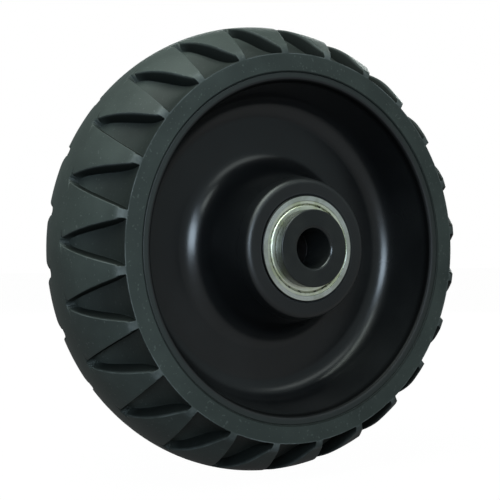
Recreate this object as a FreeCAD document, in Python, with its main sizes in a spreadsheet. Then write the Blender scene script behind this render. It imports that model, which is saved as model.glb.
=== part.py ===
import FreeCAD, Part
import math
import os
import Sketcher

# Rubber trolley wheel. Origin at the wheel's centre, axle along Y, visible face towards -Y.

os.makedirs("parts", exist_ok=True)
doc = FreeCAD.newDocument("trolley_wheel")

# Driving dimensions, millimetres and degrees
size = {
    # tyre
    "tyre_radius": 76.6,
    "tyre_half_width": 26.0,
    "rubber_depth": 18.6,
    "crown_height": 11.1,
    "flank_angle": 37.5,
    "shoulder_rounding": 2.2,
    "land_foot": 0.115,
    "tread_root_depth": 2.3,
    "floor_ledge_width": 4.5,
    "floor_bend_width": 17.0,
    "floor_slope": 32.2,
    "floor_crown_slope": 14.0,
    "tyre_edge_rounding": 1.0,
    # tread pockets
    "pocket_count": 24,
    "pocket_phase": 1.65,
    "land_end_width": 2.25,
    "pocket_edge_radius": 200.0,
    "pocket_tip_radius": 1.2,
    "pocket_tip_offset": 4.3,
    "overrun": 1.0,
    "zero": 0.0,
    # rim
    "rim_inset": 0.3,
    "rim_bed_depth": 1.1,
    "rim_flange_width": 7.5,
    "rim_bed_slope": 1.1,
    "rim_wall": 2.6,
    "rim_draft": 4.33,
    "lip_rounding": 1.9,
    # web
    "web_half": 4.4,
    "hub_root_rounding": 8.5,
    "rim_root_rounding": 7.5,
    # hub
    "hub_wall": 5.3,
    "boss_half": 28.9,
    "boss_draft": 5.07,
    "boss_rounding": 1.8,
    "seat_mouth": 0.5,
    "seat_ledge": 2.3,
    # ball bearing
    "bearing_radius": 17.5,
    "bearing_width": 11.0,
    "bearing_proud": 0.3,
    "ring_chamfer": 0.4,
    "ball_share": 0.27,
    "ball_count": 8,
    "ball_clearance": 0.03,
    "track_depth": 0.97,
    "track_excess": 0.03,
    # bearing shields
    "shield_lip": 1.1,
    "shield_seat_depth": 1.0,
    "shield_recess": 0.25,
    "shield_gauge": 0.4,
    "shield_step": 0.35,
    "shield_rim_width": 1.0,
    "shield_groove_wall": 0.2,
    "shield_groove_width": 0.25,
    "shield_bead_width": 1.0,
    "shield_slope_width": 0.45,
    "shield_gap": 0.25,
    # ball cage
    "cage_half_band": 1.15,
    "cage_gauge": 0.6,
    "cage_pocket_clearance": 0.1,
    "rivet_radius": 0.45,
    "rivet_head_reach": 0.35,
    "rivet_head_height": 0.3,
    # bushes and spacer
    "axle_radius": 6.35,
    "axle_clearance": 0.05,
    "bush_wall": 1.1,
    "bush_flange_reach": 2.2,
    "bush_flange_height": 3.8,
    "bush_spigot_length": 10.0,
    "bush_chamfer": 0.4,
    "bush_mouth": 0.9,
    "spacer_reach": 2.5,
    "spacer_clearance": 0.5,
}

# Places worked out from the driving dimensions
size["rim_radius"] = size["tyre_radius"] - size["rubber_depth"]
size["rim_bed_radius"] = size["rim_radius"] - size["rim_bed_depth"]
size["rim_half_width"] = size["tyre_half_width"] - size["rim_inset"]
size["shoulder_radius"] = size["tyre_radius"] - size["crown_height"]
flank_angle = math.radians(size["flank_angle"])
shoulder_reach = size["shoulder_rounding"] * math.tan((math.pi / 2 - flank_angle) / 2)
size["land_rise"] = shoulder_reach + size["land_foot"]
size["side_ring_radius"] = size["shoulder_radius"] - size["land_rise"]
size["tread_root_radius"] = size["side_ring_radius"] - size["tread_root_depth"]
# The round crown starts where a flank at its angle, drawn from the shoulder, touches it
flank_climb = size["tyre_half_width"] * math.tan(flank_angle)
size["crown_radius"] = (flank_climb - size["crown_height"]) / (1 / math.cos(flank_angle) - 1)
size["crown_joint_radius"] = size["tyre_radius"] - size["crown_radius"] * (1 - math.cos(flank_angle))
size["crown_joint_offset"] = size["crown_radius"] * math.sin(flank_angle)
floor_rise = math.tan(math.radians(size["floor_slope"]))
floor_crown_rise = math.tan(math.radians(size["floor_crown_slope"]))
size["floor_ledge_offset"] = size["tyre_half_width"] - size["floor_ledge_width"]
size["floor_bend_offset"] = size["tyre_half_width"] - size["floor_bend_width"]
floor_run = size["floor_bend_width"] - size["floor_ledge_width"]
size["floor_bend_radius"] = size["side_ring_radius"] + floor_run * floor_rise
size["floor_peak_radius"] = size["floor_bend_radius"] + size["floor_bend_offset"] * floor_crown_rise
size["pocket_base"] = math.pi * size["shoulder_radius"] / size["pocket_count"] - size["land_end_width"] / 2
size["boss_radius"] = size["bearing_radius"] + size["hub_wall"]
size["hub_bore_radius"] = size["bearing_radius"] - size["seat_ledge"]
size["bearing_face"] = size["boss_half"] + size["bearing_proud"]
size["seat_floor"] = size["bearing_face"] - size["bearing_width"]
size["seat_mouth_radius"] = size["bearing_radius"] + size["seat_mouth"]
size["seat_mouth_start"] = size["boss_half"] - size["seat_mouth"]
size["bearing_middle"] = size["bearing_face"] - size["bearing_width"] / 2
size["boss_root_radius"] = size["boss_radius"] + size["boss_draft"]
size["rim_lip_inner"] = size["rim_radius"] - size["rim_wall"]
size["rim_root_inner"] = size["rim_lip_inner"] - size["rim_draft"]
# The two wide roundings of the web share its width
root_room = (size["rim_root_inner"] - size["boss_root_radius"]) / 2
size["hub_root_rounding"] = min(size["hub_root_rounding"], root_room)
size["rim_root_rounding"] = min(size["rim_root_rounding"], root_room)
size["rim_bed_step"] = size["tyre_half_width"] - size["rim_flange_width"]
size["rim_bed_half"] = size["rim_bed_step"] - size["rim_bed_slope"]
size["pocket_base_offset"] = size["tyre_half_width"] + size["overrun"]
size["pocket_tip_centre"] = size["pocket_tip_offset"] + size["pocket_tip_radius"]
size["pocket_start_radius"] = size["tread_root_radius"] - size["overrun"]
size["pocket_depth"] = size["tyre_radius"] + size["overrun"] - size["pocket_start_radius"]
size["bush_bore_radius"] = size["axle_radius"] + size["axle_clearance"]
size["bearing_bore_radius"] = size["bush_bore_radius"] + size["bush_wall"]
size["pitch_radius"] = (size["bearing_radius"] + size["bearing_bore_radius"]) / 2
size["ball_radius"] = size["bearing_width"] * size["ball_share"]
land_reach = size["ball_radius"] - size["track_depth"]
size["inner_land_radius"] = size["pitch_radius"] - land_reach
size["outer_land_radius"] = size["pitch_radius"] + land_reach
size["ring_half"] = size["bearing_width"] / 2
size["ring_chamfer_start"] = size["ring_half"] - size["ring_chamfer"]
size["outer_ring_chamfer_radius"] = size["bearing_radius"] - size["ring_chamfer"]
size["inner_ring_chamfer_radius"] = size["bearing_bore_radius"] + size["ring_chamfer"]
size["shield_seat_floor"] = size["ring_half"] - size["shield_seat_depth"]
size["track_radius"] = size["ball_radius"] * (1 + size["track_excess"])
size["track_shift"] = size["track_radius"] - size["ball_radius"] - size["ball_clearance"]
size["inner_track_centre"] = size["pitch_radius"] + size["track_shift"]
size["outer_track_centre"] = size["pitch_radius"] - size["track_shift"]
size["shield_seat_radius"] = size["outer_land_radius"] + size["shield_lip"]
size["shield_inner_radius"] = size["inner_land_radius"] + size["shield_gap"]
size["shield_rim_radius"] = size["shield_seat_radius"] - size["shield_rim_width"]
size["shield_groove_radius"] = size["shield_rim_radius"] - size["shield_groove_wall"]
size["shield_groove_end"] = size["shield_groove_radius"] - size["shield_groove_width"]
size["shield_bead_radius"] = size["shield_groove_end"] - size["shield_groove_wall"]
size["shield_bead_end"] = size["shield_bead_radius"] - size["shield_bead_width"]
size["shield_flat_radius"] = size["shield_bead_end"] - size["shield_slope_width"]
size["shield_top"] = size["ring_half"] - size["shield_recess"]
size["shield_underside"] = size["shield_top"] - size["shield_gauge"]
size["shield_flat_top"] = size["shield_top"] - size["shield_step"]
size["shield_flat_underside"] = size["shield_underside"] - size["shield_step"]
size["bush_flange_radius"] = size["inner_land_radius"] + size["bush_flange_reach"]
size["bush_face"] = size["bearing_face"] + size["bush_flange_height"]
size["bush_end"] = size["bearing_face"] - size["bush_spigot_length"]
size["bush_face_chamfer"] = size["bush_face"] - size["bush_chamfer"]
size["bush_flange_chamfer"] = size["bush_flange_radius"] - size["bush_chamfer"]
size["bush_mouth_radius"] = size["bush_bore_radius"] + size["bush_mouth"]
size["bush_mouth_start"] = size["bush_face"] - size["bush_mouth"]
size["bush_spigot_chamfer"] = size["bearing_bore_radius"] - size["bush_chamfer"]
size["bush_spigot_chamfer_start"] = size["bush_end"] + size["bush_chamfer"]
size["spacer_radius"] = size["bearing_bore_radius"] + size["spacer_reach"]
size["spacer_bore_radius"] = size["bush_bore_radius"] + size["spacer_clearance"]
size["rivet_head_radius"] = size["rivet_radius"] + size["rivet_head_reach"]

sheet = doc.addObject("Spreadsheet::Sheet", "sizes")
for row, (alias, value) in enumerate(size.items(), start=1):
    sheet.set(f"A{row}", alias)
    sheet.set(f"B{row}", str(value))
    sheet.setAlias(f"B{row}", alias)
doc.recompute()


# A signed size, such as "-rim_radius", as a number and as an expression on the sheet
def number(name):
    return -size[name[1:]] if name.startswith("-") else size[name]


def cell(name):
    return f"-sizes.{name[1:]}" if name.startswith("-") else f"sizes.{name}"


def new_body(label):
    body = doc.addObject("PartDesign::Body", label)
    body.Label = label
    return body


def origin_feature(body, role):
    return next(item for item in body.Origin.OriginFeatures if item.Role == role)


def new_sketch(body, name, role="XY_Plane"):
    sketch = body.newObject("Sketcher::SketchObject", name)
    sketch.AttachmentSupport = [(origin_feature(body, role), "")]
    sketch.MapMode = "FlatFace"
    return sketch


# Holds a point of a sketch at a signed place across and along the wheel
def pin_point(sketch, geometry, end, across, along):
    for kind, name in (("DistanceX", across), ("DistanceY", along)):
        index = sketch.addConstraint(Sketcher.Constraint(kind, -1, 1, geometry, end, number(name)))
        sketch.setExpression(f"Constraints[{index}]", cell(name))


def bind_radius(sketch, geometry, name):
    index = sketch.addConstraint(Sketcher.Constraint("Radius", geometry, size[name]))
    sketch.setExpression(f"Constraints[{index}]", cell(name))


# A closed outline of straight lines through named corners, each (radius, place along the axle)
def draw_outline(sketch, corners):
    count = len(corners)
    points = [FreeCAD.Vector(number(across), number(along), 0) for across, along in corners]
    for index in range(count):
        sketch.addGeometry(Part.LineSegment(points[index], points[(index + 1) % count]), False)
    for index in range(count):
        sketch.addConstraint(Sketcher.Constraint("Coincident", index, 2, (index + 1) % count, 1))
    for index, (across, along) in enumerate(corners):
        pin_point(sketch, index, 1, across, along)


def revolve(body, sketch, name, kind="Revolution"):
    feature = body.newObject(f"PartDesign::{kind}", name)
    feature.Profile = sketch
    feature.ReferenceAxis = (sketch, ["V_Axis"])
    feature.Angle = 360.0
    sketch.Visibility = False
    body.Tip = feature
    doc.recompute()
    return feature


# Rounds the circular edges that run round the axle at the given (radius, place) pairs
def round_rings(body, name, rings, radius_name):
    base = body.Tip
    picked = []
    for index, edge in enumerate(base.Shape.Edges, start=1):
        curve = edge.Curve
        if not isinstance(curve, Part.Circle):
            continue
        for ring_radius, along in rings:
            at_radius = abs(curve.Radius - number(ring_radius)) < tolerance
            at_place = abs(curve.Center.y - number(along)) < tolerance
            on_axle = math.hypot(curve.Center.x, curve.Center.z) < tolerance
            if at_radius and at_place and on_axle:
                picked.append(f"Edge{index}")
    feature = body.newObject("PartDesign::Fillet", name)
    feature.Base = (base, picked)
    feature.setExpression("Radius", cell(radius_name))
    body.Tip = feature
    doc.recompute()
    return feature


# The same corners on both sides of the wheel, ordered into one closed outline
def both_sides(front_corners):
    front = [(across, f"-{along}") for across, along in front_corners]
    rear = [(across, along) for across, along in reversed(front_corners)]
    return front + rear


def both_rings(rings):
    return [(across, sign + along) for across, along in rings for sign in ("-", "")]


# Where two circles cross, on the side with the smaller x
def crossing(centre_a, radius_a, centre_b, radius_b):
    span = centre_b - centre_a
    gap = span.Length
    along = (gap ** 2 + radius_a ** 2 - radius_b ** 2) / (2 * gap)
    height = math.sqrt(radius_a ** 2 - along ** 2)
    foot = centre_a + span * (along / gap)
    side = FreeCAD.Vector(-span.y, span.x, 0) * (height / gap)
    return min(foot + side, foot - side, key=lambda point: point.x)


def arc_between(centre, start, end, clockwise=False):
    first = math.atan2(start.y - centre.y, start.x - centre.x)
    last = math.atan2(end.y - centre.y, end.x - centre.x)
    circle = Part.Circle(centre, FreeCAD.Vector(0, 0, 1), (start - centre).Length)
    if clockwise:
        first, last = last, first
    return Part.ArcOfCircle(circle, first, last)


# Slack for finding an edge by its place, and for counting pockets by the volume they remove
tolerance = 1e-4
count_tolerance = 0.1


# Tyre

# Section of the tread layer: round crown and straight flanks that leave it without a corner
def draw_tread(sketch):
    root = size["tread_root_radius"]
    half = size["tyre_half_width"]
    crown_centre = FreeCAD.Vector(size["tyre_radius"] - size["crown_radius"], 0, 0)
    inner = [FreeCAD.Vector(root, sign * half, 0) for sign in (-1, 1)]
    shoulder = [FreeCAD.Vector(size["shoulder_radius"], sign * half, 0) for sign in (-1, 1)]
    joint = [FreeCAD.Vector(size["crown_joint_radius"], sign * size["crown_joint_offset"], 0) for sign in (-1, 1)]
    sketch.addGeometry(Part.LineSegment(inner[0], shoulder[0]), False)
    sketch.addGeometry(Part.LineSegment(shoulder[0], joint[0]), False)
    sketch.addGeometry(arc_between(crown_centre, joint[0], joint[1]), False)
    sketch.addGeometry(Part.LineSegment(joint[1], shoulder[1]), False)
    sketch.addGeometry(Part.LineSegment(shoulder[1], inner[1]), False)
    sketch.addGeometry(Part.LineSegment(inner[1], inner[0]), False)
    bottom, front_flank, crown, rear_flank, top, inside = range(6)
    sketch.addConstraint(Sketcher.Constraint("Coincident", bottom, 2, front_flank, 1))
    sketch.addConstraint(Sketcher.Constraint("Tangent", front_flank, 2, crown, 1))
    sketch.addConstraint(Sketcher.Constraint("Coincident", crown, 2, rear_flank, 1))
    sketch.addConstraint(Sketcher.Constraint("Coincident", rear_flank, 2, top, 1))
    sketch.addConstraint(Sketcher.Constraint("Coincident", top, 2, inside, 1))
    sketch.addConstraint(Sketcher.Constraint("Coincident", inside, 2, bottom, 1))
    pin_point(sketch, bottom, 1, "tread_root_radius", "-tyre_half_width")
    pin_point(sketch, bottom, 2, "shoulder_radius", "-tyre_half_width")
    pin_point(sketch, front_flank, 2, "crown_joint_radius", "-crown_joint_offset")
    pin_point(sketch, rear_flank, 1, "crown_joint_radius", "crown_joint_offset")
    pin_point(sketch, top, 1, "shoulder_radius", "tyre_half_width")
    pin_point(sketch, inside, 1, "tread_root_radius", "tyre_half_width")


# Outline of one tread pocket seen along the wheel's radius: a shark's tooth with bowed edges,
# its base on the tyre's side and its blunt tip near the middle of the tread
def draw_pocket(sketch, sign):
    side = "-" if sign < 0 else ""
    tip_centre = FreeCAD.Vector(0, sign * size["pocket_tip_centre"], 0)
    right_base = FreeCAD.Vector(size["pocket_base"], sign * size["pocket_base_offset"], 0)
    left_base = FreeCAD.Vector(-right_base.x, right_base.y, 0)
    edge_radius = size["pocket_edge_radius"]
    tip_radius = size["pocket_tip_radius"]
    right_centre = crossing(tip_centre, edge_radius - tip_radius, right_base, edge_radius)
    left_centre = FreeCAD.Vector(-right_centre.x, right_centre.y, 0)
    right_joint = tip_centre + (tip_centre - right_centre).normalize() * tip_radius
    left_joint = FreeCAD.Vector(-right_joint.x, right_joint.y, 0)
    turned = sign > 0
    sketch.addGeometry(Part.LineSegment(left_base, right_base), False)
    sketch.addGeometry(arc_between(right_centre, right_base, right_joint, turned), False)
    sketch.addGeometry(arc_between(tip_centre, right_joint, left_joint, turned), False)
    sketch.addGeometry(arc_between(left_centre, left_joint, left_base, turned), False)
    base, right, tip, left = range(4)
    # An arc that runs clockwise starts at its far end
    first, last = (2, 1) if turned else (1, 2)
    sketch.addConstraint(Sketcher.Constraint("Coincident", base, 2, right, first))
    sketch.addConstraint(Sketcher.Constraint("Tangent", right, last, tip, first))
    sketch.addConstraint(Sketcher.Constraint("Tangent", tip, last, left, first))
    sketch.addConstraint(Sketcher.Constraint("Coincident", left, last, base, 1))
    pin_point(sketch, base, 1, "-pocket_base", side + "pocket_base_offset")
    pin_point(sketch, base, 2, "pocket_base", side + "pocket_base_offset")
    sketch.addConstraint(Sketcher.Constraint("PointOnObject", tip, 3, -2))
    index = sketch.addConstraint(Sketcher.Constraint("DistanceY", -1, 1, tip, 3, tip_centre.y))
    sketch.setExpression(f"Constraints[{index}]", cell(side + "pocket_tip_centre"))
    bind_radius(sketch, tip, "pocket_tip_radius")
    bind_radius(sketch, right, "pocket_edge_radius")
    bind_radius(sketch, left, "pocket_edge_radius")


# Cuts one row of pockets through the tread layer, turned by a share of their pitch
def cut_pockets(body, name, sign, pitch_share):
    sketch = new_sketch(body, f"{name}_outline")
    angle = size["pocket_phase"] + pitch_share * 360.0 / size["pocket_count"]
    turn = FreeCAD.Rotation(FreeCAD.Vector(0, 1, 0), angle)
    start = turn.multVec(FreeCAD.Vector(0, 0, size["pocket_start_radius"]))
    sketch.AttachmentOffset = FreeCAD.Placement(start, turn)
    draw_pocket(sketch, sign)
    doc.recompute()
    before = body.Tip.Shape.Volume
    pocket = body.newObject("PartDesign::Pocket", name)
    pocket.Profile = sketch
    pocket.Reversed = True
    pocket.setExpression("Length", cell("pocket_depth"))
    sketch.Visibility = False
    body.Tip = pocket
    doc.recompute()
    pattern = body.newObject("PartDesign::PolarPattern", f"{name}_row")
    pattern.Originals = [pocket]
    pattern.Axis = (origin_feature(body, "Y_Axis"), [""])
    pattern.Angle = 360.0
    pattern.setExpression("Occurrences", cell("pocket_count"))
    body.Tip = pattern
    doc.recompute()
    removed_one = before - pocket.Shape.Volume
    removed_all = before - pattern.Shape.Volume
    if not removed_one > 0 or abs(removed_all / removed_one - size["pocket_count"]) > count_tolerance:
        raise RuntimeError(f"{name}: {removed_one:.1f} mm3 once, {removed_all:.1f} mm3 in the row")


def make_tyre():
    body = new_body("tyre")
    tread = new_sketch(body, "tread_section")
    draw_tread(tread)
    revolve(body, tread, "tread_layer")
    round_rings(body, "land_shoulders", both_rings([("shoulder_radius", "tyre_half_width")]), "shoulder_rounding")
    cut_pockets(body, "front_pocket", -1, 0.0)
    cut_pockets(body, "rear_pocket", 1, 0.5)
    # The carcass fills the pockets up to their floors: a ledge at the side, a slope, and a flatter middle
    carcass = new_sketch(body, "carcass_section")
    front = [("rim_bed_radius", "rim_bed_half"), ("rim_radius", "rim_bed_step"),
             ("rim_radius", "tyre_half_width"), ("side_ring_radius", "tyre_half_width"),
             ("side_ring_radius", "floor_ledge_offset"), ("floor_bend_radius", "floor_bend_offset")]
    corners = [(across, f"-{along}") for across, along in front]
    corners.append(("floor_peak_radius", "zero"))
    corners += list(reversed(front))
    draw_outline(carcass, corners)
    revolve(body, carcass, "carcass")
    round_rings(body, "tyre_edges", both_rings([("rim_radius", "tyre_half_width")]), "tyre_edge_rounding")
    return body


# Moulded centre in one piece: the hub's and the rim's drafted walls run into a flat web in wide roundings

def make_wheel_centre():
    body = new_body("wheel_centre")
    sketch = new_sketch(body, "centre_section")
    front = [("hub_bore_radius", "seat_floor"), ("bearing_radius", "seat_floor"),
             ("bearing_radius", "seat_mouth_start"), ("seat_mouth_radius", "boss_half"),
             ("boss_radius", "boss_half"), ("boss_root_radius", "web_half"),
             ("rim_root_inner", "web_half"), ("rim_lip_inner", "rim_half_width"),
             ("rim_radius", "rim_half_width"), ("rim_radius", "rim_bed_step"),
             ("rim_bed_radius", "rim_bed_half")]
    draw_outline(sketch, both_sides(front))
    revolve(body, sketch, "centre")
    round_rings(body, "hub_roots", both_rings([("boss_root_radius", "web_half")]), "hub_root_rounding")
    round_rings(body, "rim_roots", both_rings([("rim_root_inner", "web_half")]), "rim_root_rounding")
    round_rings(body, "boss_edges", both_rings([("boss_radius", "boss_half")]), "boss_rounding")
    round_rings(body, "rim_lips", both_rings([("rim_lip_inner", "rim_half_width")]), "lip_rounding")
    return body


# Sealed ball bearing, modelled about its own middle and set at one end of the hub

def set_at_end(item, sign, place=None):
    if sign > 0:
        item.Placement = FreeCAD.Placement(FreeCAD.Vector(), FreeCAD.Rotation(FreeCAD.Vector(0, 0, 1), 180))
    if place:
        item.setExpression("Placement.Base.y", cell(place if sign > 0 else f"-{place}"))


# Ball track: a round channel cut into a ring all the way round
def cut_track(body, centre_name):
    sketch = new_sketch(body, f"{body.Label}_track")
    centre = FreeCAD.Vector(size[centre_name], 0, 0)
    sketch.addGeometry(Part.Circle(centre, FreeCAD.Vector(0, 0, 1), size["track_radius"]), False)
    pin_point(sketch, 0, 3, centre_name, "zero")
    bind_radius(sketch, 0, "track_radius")
    before = body.Tip.Shape.Volume
    groove = revolve(body, sketch, f"{body.Label}_groove", "Groove")
    if not groove.Shape.Volume < before:
        raise RuntimeError(f"{body.Label}: the ball track cuts nothing")


def make_outer_ring(end, sign):
    body = new_body(f"{end}_outer_ring")
    sketch = new_sketch(body, f"{end}_outer_ring_section")
    front = [("outer_land_radius", "shield_seat_floor"), ("shield_seat_radius", "shield_seat_floor"),
             ("shield_seat_radius", "ring_half"), ("outer_ring_chamfer_radius", "ring_half"),
             ("bearing_radius", "ring_chamfer_start")]
    draw_outline(sketch, both_sides(front))
    revolve(body, sketch, f"{end}_outer_ring_turned")
    cut_track(body, "outer_track_centre")
    set_at_end(body, sign, "bearing_middle")
    return body


def make_inner_ring(end, sign):
    body = new_body(f"{end}_inner_ring")
    sketch = new_sketch(body, f"{end}_inner_ring_section")
    front = [("bearing_bore_radius", "ring_chamfer_start"), ("inner_ring_chamfer_radius", "ring_half"),
             ("inner_land_radius", "ring_half")]
    draw_outline(sketch, both_sides(front))
    revolve(body, sketch, f"{end}_inner_ring_turned")
    cut_track(body, "inner_track_centre")
    set_at_end(body, sign, "bearing_middle")
    return body


# Pressed shield: a rim that sits in the outer ring, a groove, a raised bead, and a flat that stops short of the
# inner ring
def make_shield(end, sign, side):
    label = f"{end}_{side}_shield"
    body = new_body(label)
    sketch = new_sketch(body, f"{label}_section")
    mark = "-" if side == "outer" else ""
    low, high = "shield_flat", "shield"
    bends = [("shield_inner_radius", low), ("shield_flat_radius", low), ("shield_bead_end", high),
             ("shield_bead_radius", high), ("shield_groove_end", low), ("shield_groove_radius", low),
             ("shield_rim_radius", high), ("shield_seat_radius", high)]
    corners = [(across, f"{mark}{level}_top") for across, level in bends]
    corners += [(across, f"{mark}{level}_underside") for across, level in reversed(bends)]
    draw_outline(sketch, corners)
    revolve(body, sketch, f"{label}_pressed")
    set_at_end(body, sign, "bearing_middle")
    return body


# Solids spaced evenly on the ball circle, made by turning one about the axle
def on_ball_circle(shape, offset_share=0.0):
    pitch = 360.0 / size["ball_count"]
    copies = []
    for index in range(int(size["ball_count"])):
        turned = shape.copy()
        turned.rotate(FreeCAD.Vector(), FreeCAD.Vector(0, 1, 0), (index + offset_share) * pitch)
        copies.append(turned)
    return copies


def new_feature(label, shape):
    feature = doc.addObject("Part::Feature", label)
    feature.Label = label
    feature.Shape = shape
    return feature


def ball_at(radius):
    return Part.makeSphere(radius, FreeCAD.Vector(size["pitch_radius"], 0, 0))


def make_balls(end, sign):
    feature = new_feature(f"{end}_balls", Part.makeCompound(on_ball_circle(ball_at(size["ball_radius"]))))
    set_at_end(feature, sign, "bearing_middle")
    return feature


def band(inner, outer, start, height):
    axle = FreeCAD.Vector(0, 1, 0)
    foot = FreeCAD.Vector(0, start, 0)
    return Part.makeCylinder(outer, height, foot, axle).cut(Part.makeCylinder(inner, height, foot, axle))


# One half of the ribbon cage: a flat ring that bulges round each ball, with a rivet hole between balls
def make_cage_half(end, sign, side):
    label = f"{end}_cage_{side}_half"
    inner = size["pitch_radius"] - size["cage_half_band"]
    outer = size["pitch_radius"] + size["cage_half_band"]
    gauge = size["cage_gauge"]
    pocket_radius = size["ball_radius"] + size["cage_pocket_clearance"]
    reach = pocket_radius + gauge
    flat = band(inner, outer, 0, gauge)
    bulges = Part.makeCompound(on_ball_circle(ball_at(reach))).common(band(inner, outer, 0, reach + gauge))
    hollows = Part.makeCompound(on_ball_circle(ball_at(pocket_radius)))
    hole = Part.makeCylinder(size["rivet_radius"], 2 * gauge, FreeCAD.Vector(size["pitch_radius"], -gauge / 2, 0),
                             FreeCAD.Vector(0, 1, 0))
    holes = Part.makeCompound(on_ball_circle(hole, 0.5))
    shape = flat.fuse(bulges).cut(hollows).cut(holes).removeSplitter()
    if side == "outer":
        shape = shape.mirror(FreeCAD.Vector(), FreeCAD.Vector(0, 1, 0))
    feature = new_feature(label, shape)
    set_at_end(feature, sign, "bearing_middle")
    return feature


def make_rivets(end, sign):
    gauge = size["cage_gauge"]
    place = FreeCAD.Vector(size["pitch_radius"], 0, 0)
    axle = FreeCAD.Vector(0, 1, 0)
    shank = Part.makeCylinder(size["rivet_radius"], 2 * gauge, place - axle * gauge, axle)
    heads = [Part.makeCylinder(size["rivet_head_radius"], size["rivet_head_height"], place + direction * gauge, direction)
             for direction in (axle, -axle)]
    rivet = shank.fuse(heads).removeSplitter()
    feature = new_feature(f"{end}_cage_rivets", Part.makeCompound(on_ball_circle(rivet, 0.5)))
    set_at_end(feature, sign, "bearing_middle")
    return feature


# Flanged bush: its spigot fills the inner ring's bore and its flange stands clear of the shield
def make_bush(end, sign):
    body = new_body(f"{end}_bush")
    sketch = new_sketch(body, f"{end}_bush_section")
    corners = [("bush_bore_radius", "bush_end"), ("bush_bore_radius", "bush_mouth_start"),
               ("bush_mouth_radius", "bush_face"), ("bush_flange_chamfer", "bush_face"),
               ("bush_flange_radius", "bush_face_chamfer"), ("bush_flange_radius", "bearing_face"),
               ("bearing_bore_radius", "bearing_face"), ("bearing_bore_radius", "bush_spigot_chamfer_start"),
               ("bush_spigot_chamfer", "bush_end")]
    draw_outline(sketch, [(across, f"-{along}") for across, along in corners])
    revolve(body, sketch, f"{end}_bush_moulded")
    set_at_end(body, sign)
    return body


# Spacer tube: holds the two inner rings apart
def make_spacer():
    body = new_body("spacer_tube")
    sketch = new_sketch(body, "spacer_section")
    draw_outline(sketch, both_sides([("spacer_bore_radius", "seat_floor"), ("spacer_radius", "seat_floor")]))
    revolve(body, sketch, "spacer_cut_to_length")
    return body


pieces = [make_tyre(), make_wheel_centre(), make_spacer()]
for end, sign in (("front", -1), ("rear", 1)):
    pieces.append(make_outer_ring(end, sign))
    pieces.append(make_inner_ring(end, sign))
    pieces.append(make_shield(end, sign, "outer"))
    pieces.append(make_shield(end, sign, "inner"))
    pieces.append(make_cage_half(end, sign, "outer"))
    pieces.append(make_cage_half(end, sign, "inner"))
    pieces.append(make_rivets(end, sign))
    pieces.append(make_balls(end, sign))
    pieces.append(make_bush(end, sign))
doc.recompute()

# Nothing is written unless every object and every solid is sound
for item in doc.Objects:
    if "Invalid" in item.State or "Error" in item.State:
        raise RuntimeError(f"{item.Label}: {item.State}")
for piece in pieces:
    if piece.Shape.isNull() or not piece.Shape.isValid():
        raise RuntimeError(f"{piece.Label}: its shape is null or not valid")

for piece in pieces:
    piece.Shape.exportStep(f"parts/{piece.Label}.step")
    box = piece.Shape.BoundBox
    print(f"{piece.Label}: {len(piece.Shape.Solids)} solids, {piece.Shape.Volume:.1f} mm3, "
          f"y {box.YMin:.2f} to {box.YMax:.2f}, radius {box.XMax:.2f}")
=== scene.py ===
import math

import bpy
import numpy as np
from mathutils import Matrix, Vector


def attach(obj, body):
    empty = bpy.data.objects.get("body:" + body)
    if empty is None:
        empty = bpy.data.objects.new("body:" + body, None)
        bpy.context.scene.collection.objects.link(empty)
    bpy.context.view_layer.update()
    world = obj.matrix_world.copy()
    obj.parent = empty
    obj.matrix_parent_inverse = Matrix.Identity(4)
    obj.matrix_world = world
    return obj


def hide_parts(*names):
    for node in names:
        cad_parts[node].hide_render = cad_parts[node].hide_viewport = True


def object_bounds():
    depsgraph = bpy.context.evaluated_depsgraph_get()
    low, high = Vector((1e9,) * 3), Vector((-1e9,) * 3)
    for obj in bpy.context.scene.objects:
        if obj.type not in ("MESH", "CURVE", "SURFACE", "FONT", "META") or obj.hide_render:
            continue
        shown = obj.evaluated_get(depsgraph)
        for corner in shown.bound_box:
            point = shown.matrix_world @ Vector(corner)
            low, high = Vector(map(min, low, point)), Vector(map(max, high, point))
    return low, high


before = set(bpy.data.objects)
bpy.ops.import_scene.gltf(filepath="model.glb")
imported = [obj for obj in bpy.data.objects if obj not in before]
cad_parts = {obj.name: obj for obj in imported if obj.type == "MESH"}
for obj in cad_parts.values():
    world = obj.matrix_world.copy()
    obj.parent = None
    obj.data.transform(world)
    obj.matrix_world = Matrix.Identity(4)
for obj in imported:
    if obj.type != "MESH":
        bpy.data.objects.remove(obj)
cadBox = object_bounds()
scene = bpy.context.scene
mm = 0.001
tau = 2 * math.pi
print("frame loaded:", len(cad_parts), "nodes")


# Mesh from grids of points

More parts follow.
